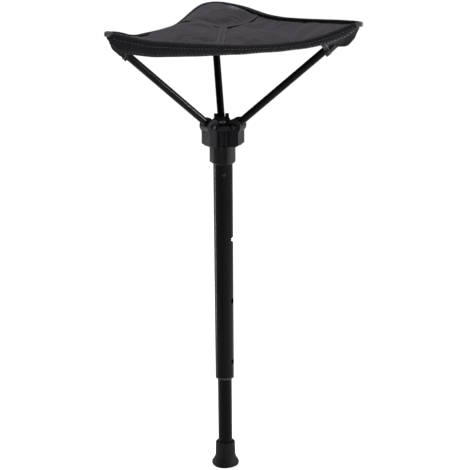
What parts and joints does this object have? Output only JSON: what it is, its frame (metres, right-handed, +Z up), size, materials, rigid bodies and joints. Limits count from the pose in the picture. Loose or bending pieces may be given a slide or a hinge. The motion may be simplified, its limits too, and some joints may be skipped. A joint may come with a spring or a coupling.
{
  "type": "one-leg folding stool",
  "caption": "Folding stool on one telescopic tube leg with a rubber foot and a padded triangular cloth seat on folding arms.",
  "frame": {"origin": "centre of the rubber foot's sole", "axes": "+Z up the leg's axis, +Y towards the rear arm, +X to the right of a person facing +Y"},
  "size_m": [0.3022, 0.2617, 0.6085],
  "materials": {
    "foot_rubber": "matt moulded rubber with a slight sheen",
    "bright_steel": "zinc-plated steel",
    "dark_steel": "blackened steel rivet",
    "button_brass": "bright plated snap button",
    "inner_tube_paint": "black powder coat, satin",
    "gloss_tube_paint": "black gloss paint",
    "pale_nylon": "natural nylon",
    "moulded_black": "moulded glass-filled nylon, fine texture",
    "seat_cloth": "quilted polyester cloth, plain weave",
    "binding_cloth": "folded polyester hem, stitched",
    "backing_cloth": "coated polyester backing",
    "tab_webbing": "narrow polyester webbing"
  },
  "bodies": {
    "lower_leg": {"rubber_foot": "foot_rubber", "foot_washer": "bright_steel", "inner_tube": "inner_tube_paint", "guide_bush": "pale_nylon", "button_spring": "bright_steel"},
    "snap_button": {"snap_button": "button_brass"},
    "upper_leg": {"outer_tube": "gloss_tube_paint", "end_bush": "pale_nylon", "tube_plug": "moulded_black", "tube_rivet": "dark_steel", "hub": "moulded_black", "hub_cap": "moulded_black", "hub_screw": "bright_steel", "pivot_pin_rear": "dark_steel", "pivot_pin_left": "dark_steel", "pivot_pin_right": "dark_steel", "seat_panel_rear": "seat_cloth", "seat_panel_left": "seat_cloth", "seat_panel_right": "seat_cloth", "seat_underside": "backing_cloth", "edge_binding_front": "binding_cloth", "edge_binding_left": "binding_cloth", "edge_binding_right": "binding_cloth"},
    "rear_arm": {"arm_rear": "gloss_tube_paint", "arm_plug_rear": "moulded_black", "arm_cap_rear": "moulded_black", "corner_pocket_rear": "binding_cloth", "corner_tab_rear": "tab_webbing"},
    "left_arm": {"arm_left": "gloss_tube_paint", "arm_plug_left": "moulded_black", "arm_cap_left": "moulded_black", "corner_pocket_left": "binding_cloth", "corner_tab_left": "tab_webbing"},
    "right_arm": {"arm_right": "gloss_tube_paint", "arm_plug_right": "moulded_black", "arm_cap_right": "moulded_black", "corner_pocket_right": "binding_cloth", "corner_tab_right": "tab_webbing"}
  },
  "joints": [
    {"name": "leg_slide", "type": "slide", "parent": "lower_leg", "child": "upper_leg", "axis": [0, 0, 1], "range_m": [0, 0.17], "deforming": ["snap_button"]},
    {"name": "button_press", "type": "slide", "parent": "lower_leg", "child": "snap_button", "axis": [-0.866, 0.5, 0], "range_m": [0, 0.0036], "stiffness_N_per_m": 900, "springref_m": -0.003, "deforming": ["button_spring"]},
    {"name": "rear_arm_fold", "type": "hinge", "parent": "upper_leg", "child": "rear_arm", "pos_m": [0, 0.0195, 0.472], "axis": [1, 0, 0], "range_deg": [0, 47], "deforming": ["seat_panel_rear", "seat_panel_left", "seat_panel_right", "seat_underside", "edge_binding_front", "edge_binding_left", "edge_binding_right"]},
    {"name": "left_arm_fold", "type": "hinge", "parent": "upper_leg", "child": "left_arm", "pos_m": [-0.01689, -0.00975, 0.472], "axis": [-0.5, 0.866, 0], "range_deg": [0, 47]},
    {"name": "right_arm_fold", "type": "hinge", "parent": "upper_leg", "child": "right_arm", "pos_m": [0.01689, -0.00975, 0.472], "axis": [-0.5, -0.866, 0], "range_deg": [0, 47]}
  ],
  "couplings": [
    {"joint": "left_arm_fold", "follows": "rear_arm_fold", "ratio": 1},
    {"joint": "right_arm_fold", "follows": "rear_arm_fold", "ratio": 1}
  ]
}
